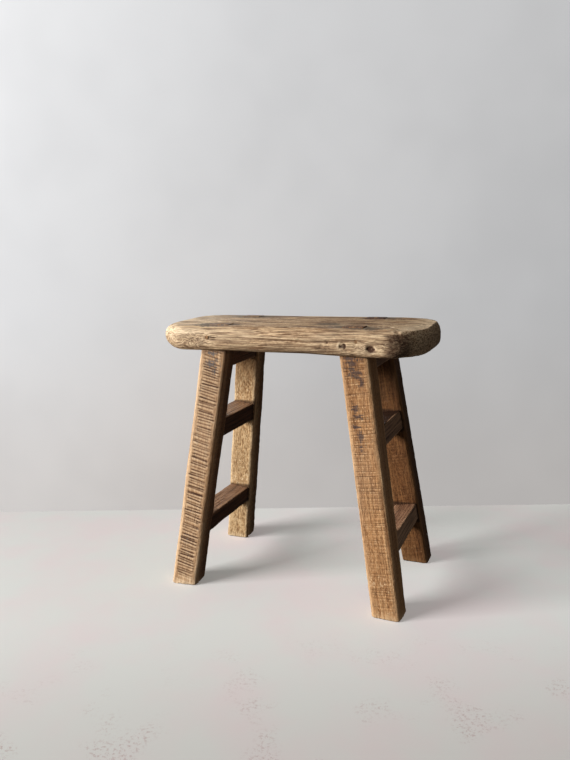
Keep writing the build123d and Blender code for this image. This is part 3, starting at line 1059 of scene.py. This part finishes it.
# Pegs, pins and wedges

def whittled(start, end, seed):
    """Rings and marks of a whittled eight-sided peg from start to end, its ends a little rounded."""
    start, end = np.array(start), np.array(end)
    length = np.linalg.norm(end - start)
    axis = (end - start) / length
    side = np.cross(axis, (0, 0, 1.0))
    side /= np.linalg.norm(side)
    ends = [(0, 0), (0, 0.45), (0, 0.8), (0.15, 0.94), (0.5, 1)]
    run, scale = np.array(ends + [(length - inset, share) for inset, share in reversed(ends)]).T
    angle = np.linspace(0, 2 * pi, 25)[:-1]
    facets = PEG_RADIUS * (1 - 0.05 * np.cos(8 * angle + seed))
    circle = np.stack([np.cos(angle) * facets, np.sin(angle) * facets], -1)
    loops = circle * scale[:, None, None]
    local = np.concatenate([loops, np.broadcast_to(run[:, None, None], (len(run), len(angle), 1))], -1)
    rings = start + local @ np.stack([side, np.cross(axis, side), axis])
    rings = rings + outward(rings) * (0.12 * noise(local, (3, 3, 5), seed) - 0.1)[..., None]
    rim = bell((PEG_RADIUS - np.hypot(local[..., 0], local[..., 1])) / 0.7)
    grain = local * MM + seed * np.array([0.31, 0.17, 0.7])
    # A little painted shade darkens the whole peg or pin, like the shaded leg faces round the pegs; dirt
    # darkens the rim.
    return rings, wood_marks(grain, wear=0.2, dirt=0.3 * rim, shade=0.3)


def make_pegs(material):
    """Pegs across the legs through the stretchers' tenons."""
    shells = []
    for number, (side_x, side_y) in enumerate(LEGS.values()):
        for upper, (rail_z, _) in zip((1, 0), STRETCHERS):
            z = rail_z - PEG_DROP
            reach = (leg_half_sizes(z)[0] + PEG_STAND_OUT) * across_frame(side_x)
            centre = leg_axis(side_x, side_y, z)
            shells.append(whittled(centre - reach, centre + reach, 5 + 2 * number + upper))
    return make_piece("stretcher_pegs_whittled", shells, material, "stretcher_pegs")


def make_pins(material):
    """Pins from the seat's long edges through the legs' tenons."""
    shells = []
    for number, (side_x, side_y) in enumerate(LEGS.values()):
        ends = ((side_x * PIN_X, side_y * (HALF_WIDTH - inset), PIN_Z) for inset in (PIN_LENGTH, PIN_SUNK))
        shells.append(whittled(*ends, 41 + number))
    return make_piece("seat_pins_whittled", shells, material, "seat_pins")


def make_wedges(material):
    """Wedges in the tops of the tenons, thin end down."""
    tip_z, top_z = TENON_TOP_Z - WEDGE_LENGTH, TENON_TOP_Z + WEDGE_STAND_OUT
    heights = np.concatenate([[tip_z] * 2, np.linspace(tip_z, top_z - 0.05, 12), [top_z] * 2])
    scale = np.concatenate([[0, 1], np.ones(12), [0.9, 0]])
    half = (WEDGE_TIP + (WEDGE_TOP - WEDGE_TIP) * (heights - tip_z) / WEDGE_LENGTH) / 2
    loops = bar_loops(half, TENON_DEPTH / 2 - WEDGE_SIDE_GAP, scale, 0.4, 9, 3)
    shells = []
    for number, sides in enumerate(LEGS.values()):
        leg = LegFrame(*sides)
        rings = leg.at_height(loops[..., 0], loops[..., 1], heights[:, None])
        local = leg.local(rings)
        rings = rings + 0.35 * noise(local, (8, 8, 30), 61 + number)[..., None] * leg.u
        marks = wood_marks(local * MM + np.array([0, 0, number * 0.9]), wear=0.4, dirt=0.3, shade=0.3)
        shells.append((rings, marks))
    return make_piece("tenon_wedges_driven", shells, material, "tenon_wedges")


# Floor and wall

FLOOR_REACH = 6
WALL_REACH, WALL_HEIGHT = 5, 3.2
WALL_POINT = (-0.152, 0.271)
WALL_HEADING = radians(20.4)


def stage_material(name, colour, tint, scale, run, fade, mottle=None, one_sided=False):
    """Matt paint or plaster with faint clouds of another tint, deeper or paler towards one side.

    The fade goes along the run in object coordinates: from full colour at its first number to the colour
    times its last three at its second. A mottle colours fine worn flecks in patches of the faded side.
    """
    t = Tree(bpy.data.materials.new(name))
    place = t.add("TexCoord").outputs["Object"]
    cloud = t.noise(place, (scale, scale, scale), 3.0, 0.6)
    mixed = t.mix(t.step(cloud, 0.35, 0.7), colour, tint)
    faded = t.step(t.vmath("DOT_PRODUCT", place, run), fade[0], fade[1])
    mixed = t.mix(faded, mixed, t.mix(1.0, mixed, fade[2:], "MULTIPLY"))
    if mottle:
        flecks = t.step(t.noise(place, (170, 170, 170), 3.0, 0.8), 0.5, 0.64)
        patches = t.step(t.noise(place, (11, 11, 11)), 0.52, 0.66)
        mixed = t.mix(t.times(t.times(t.times(flecks, patches), faded), 0.55), mixed, mottle)
    surface = t.surface(mixed, 0.9, t.noise(place, (300, 300, 300)), 0.12, 0.0004, 0.2)
    if one_sided:
        behind = t.add("NewGeometry").outputs["Backfacing"]
        clear = t.add("BsdfTransparent").outputs[0]
        surface = t.add("MixShader", {0: behind, 1: surface, 2: clear}).outputs[0]
    return t.finish(surface)


def flat_sheet(name, corners, material):
    """A sheet of the stage that throws no light back on the stool, as in the photo."""
    mesh = bpy.data.meshes.new(name)
    mesh.from_pydata(corners, [], [tuple(range(len(corners)))])
    sheet = link_mesh(name, mesh, material)
    sheet.visible_diffuse = False
    sheet.visible_glossy = False
    return sheet


def make_stage():
    """A pale floor and, behind the stool, a plaster wall that is seen from its front only."""
    # The floor paint grows darker towards the camera and the right, as painted shade where the light falls
    # off.
    floor_paint = stage_material("floor_paint", srgb(224, 225, 221), srgb(229, 219, 218), 5.0,
                                 (-0.38, 0.92, 0), (-0.15, -0.55, 0.84, 0.825, 0.815), srgb(168, 132, 128))
    wall_plaster = stage_material("wall_plaster", srgb(224, 225, 227), srgb(217, 218, 220), 2.4, (0, 0, 1),
                                  (0.5, 0.0, 1.03, 0.99, 0.955), one_sided=True)
    corners = [(x * FLOOR_REACH, y * FLOOR_REACH, 0) for x, y in ((-1, -1), (1, -1), (1, 1), (-1, 1))]
    along = WALL_REACH * np.array([cos(WALL_HEADING), sin(WALL_HEADING), 0])
    middle, up = np.array([*WALL_POINT, 0]), np.array([0, 0, WALL_HEIGHT])
    wall_corners = [tuple(middle + x * along + z * up) for x, z in ((-1, 0), (1, 0), (1, 1), (-1, 1))]
    return flat_sheet("floor", corners, floor_paint), flat_sheet("wall", wall_corners, wall_plaster)


# Lights

STOOL_MIDDLE = (0, 0, 0.25)
STAGE_KEY_PLACE = (-2.1, -1.74, 1.72)
WHITE = (1.0, 1.0, 1.0)
# Place, target, size, power and colour
LIGHTS = {
    "key_light": ((-2.15, -1.78, 1.38), STOOL_MIDDLE, 0.8, 154, (1.0, 0.975, 0.94)),
    "top_light": ((-0.3, -0.3, 2.45), STOOL_MIDDLE, 1.4, 9.5, (1.0, 0.99, 0.97)),
    "floor_key": (STAGE_KEY_PLACE, STOOL_MIDDLE, 1.35, 91, WHITE),
    "wall_key": (STAGE_KEY_PLACE, STOOL_MIDDLE, 1.35, 113, WHITE),
    "floor_fill": ((0.4, 0.4, 1.2), (0.3, 0.1, 0), 1.0, 8, WHITE),
    "wall_fill": ((2.6, -2.6, 1.9), (0.4, 0.3, 0.4), 3.2, 63, WHITE),
    "back_fill": ((-1.6, 2.2, 1.5), STOOL_MIDDLE, 1.6, 30, (1.0, 0.98, 0.95)),
}
WORLD_COLOUR, WORLD_STRENGTH = (1.0, 0.95, 0.89), 0.1
BACKDROP_COLOUR, BACKDROP_STRENGTH = (1.0, 0.99, 0.98), 0.55


def collect(name, things):
    """A collection outside the scene, for a light's receivers or blockers."""
    collection = bpy.data.collections.new(name)
    for thing in things:
        collection.objects.link(thing)
    return collection


def turned(right, up, back):
    """Matrix of a light or camera from its own three directions."""
    return Matrix(np.stack([right, up, back], -1).tolist())


def area_light(name, receivers, blockers):
    """A square soft light, hidden from the camera, for some receivers, shaded by all things or by some."""
    place, target, size, power, colour = LIGHTS[name]
    data = bpy.data.lights.new(name, "AREA")
    data.shape = "SQUARE"
    data.size = size
    data.energy = power
    data.color = colour
    light = bpy.data.objects.new(name, data)
    light.location = place
    back = np.array(place) - np.array(target)
    back /= np.linalg.norm(back)
    right = np.cross((0, 0, 1), back)
    right /= np.linalg.norm(right)
    light.rotation_euler = turned(right, np.cross(back, right), back).to_euler()
    light.visible_camera = False
    light.light_linking.receiver_collection = collect(f"{name}_receivers", receivers)
    if blockers:
        light.light_linking.blocker_collection = collect(f"{name}_blockers", blockers)
    bpy.context.collection.objects.link(light)


def make_lights(pieces, floor, wall):
    """A soft key from the front left, and an even fill of the floor and wall.

    In the photograph only the legs and rails shade the floor and nothing shades the wall, so the floor and
    the wall have keys of their own.
    """
    legs_and_rails = [piece for piece in pieces if not piece.name.startswith("seat")]
    area_light("key_light", pieces, ())
    area_light("top_light", pieces, ())
    area_light("floor_key", [floor], legs_and_rails)
    area_light("wall_key", [wall], [floor])
    area_light("floor_fill", [floor], [floor])
    area_light("wall_fill", [wall], [floor])
    area_light("back_fill", pieces, ())


def make_world():
    """A faint glow all round. What is seen past the stage is a paler backdrop that lights nothing."""
    t = Tree(bpy.data.worlds.new("studio"))
    glow = t.add("Background", {"Color": WORLD_COLOUR, "Strength": WORLD_STRENGTH}).outputs[0]
    backdrop = t.add("Background", {"Color": BACKDROP_COLOUR, "Strength": BACKDROP_STRENGTH}).outputs[0]
    seen = t.add("LightPath").outputs["Is Camera Ray"]
    mixed = t.add("MixShader", {0: seen, 1: glow, 2: backdrop}).outputs[0]
    bpy.context.scene.world = t.finish(mixed, "OutputWorld")


# Camera, fitted to the photograph's 760 rows of pixels

PHOTO_HEIGHT, FOCAL_LENGTH = 760, 712
SENSOR = 36
AZIMUTH, ELEVATION, ROLL = radians(22.6), radians(10.9), radians(-1.6)
DISTANCE = 1.2733
SLIDE_RIGHT, SLIDE_UP = -0.0282, 0.1237
TARGET = (0, 0, 0.23)


def make_camera():
    """The photograph's camera."""
    back = np.array([sin(AZIMUTH) * cos(ELEVATION), -cos(AZIMUTH) * cos(ELEVATION), sin(ELEVATION)])
    right = np.array([cos(AZIMUTH), sin(AZIMUTH), 0])
    up = np.cross(back, right)
    place = np.array(TARGET) + SLIDE_RIGHT * right + SLIDE_UP * up + DISTANCE * back
    rolled_right = cos(ROLL) * right + sin(ROLL) * up
    rolled_up = cos(ROLL) * up - sin(ROLL) * right
    data = bpy.data.cameras.new("camera")
    data.sensor_width = SENSOR
    data.lens = SENSOR * FOCAL_LENGTH / PHOTO_HEIGHT
    data.clip_start = 0.02
    camera = bpy.data.objects.new("camera", data)
    camera.matrix_world = Matrix.Translation(place.tolist()) @ turned(rolled_right, rolled_up, back).to_4x4()
    bpy.context.collection.objects.link(camera)
    bpy.context.scene.camera = camera


materials = {timber: aged_wood(name, **look) for timber, (name, look) in WOODS.items()}
pieces = [make_seat(materials["seat"])]
for leg_name, sides in LEGS.items():
    pieces.append(make_leg(leg_name, *sides, materials[leg_name]))
for end_name, end_side in (("left", -1), ("right", 1)):
    for rail_name, (rail_z, rail_height) in RAILS.items():
        pieces.append(make_rail(f"{rail_name}_{end_name}", end_side, rail_z, rail_height, materials["rail"]))
pieces += [make_pegs(materials["peg"]), make_pins(materials["peg"]), make_wedges(materials["peg"])]
make_lights(pieces, *make_stage())
make_world()
make_camera()
bpy.context.scene.view_settings.view_transform = "Standard"
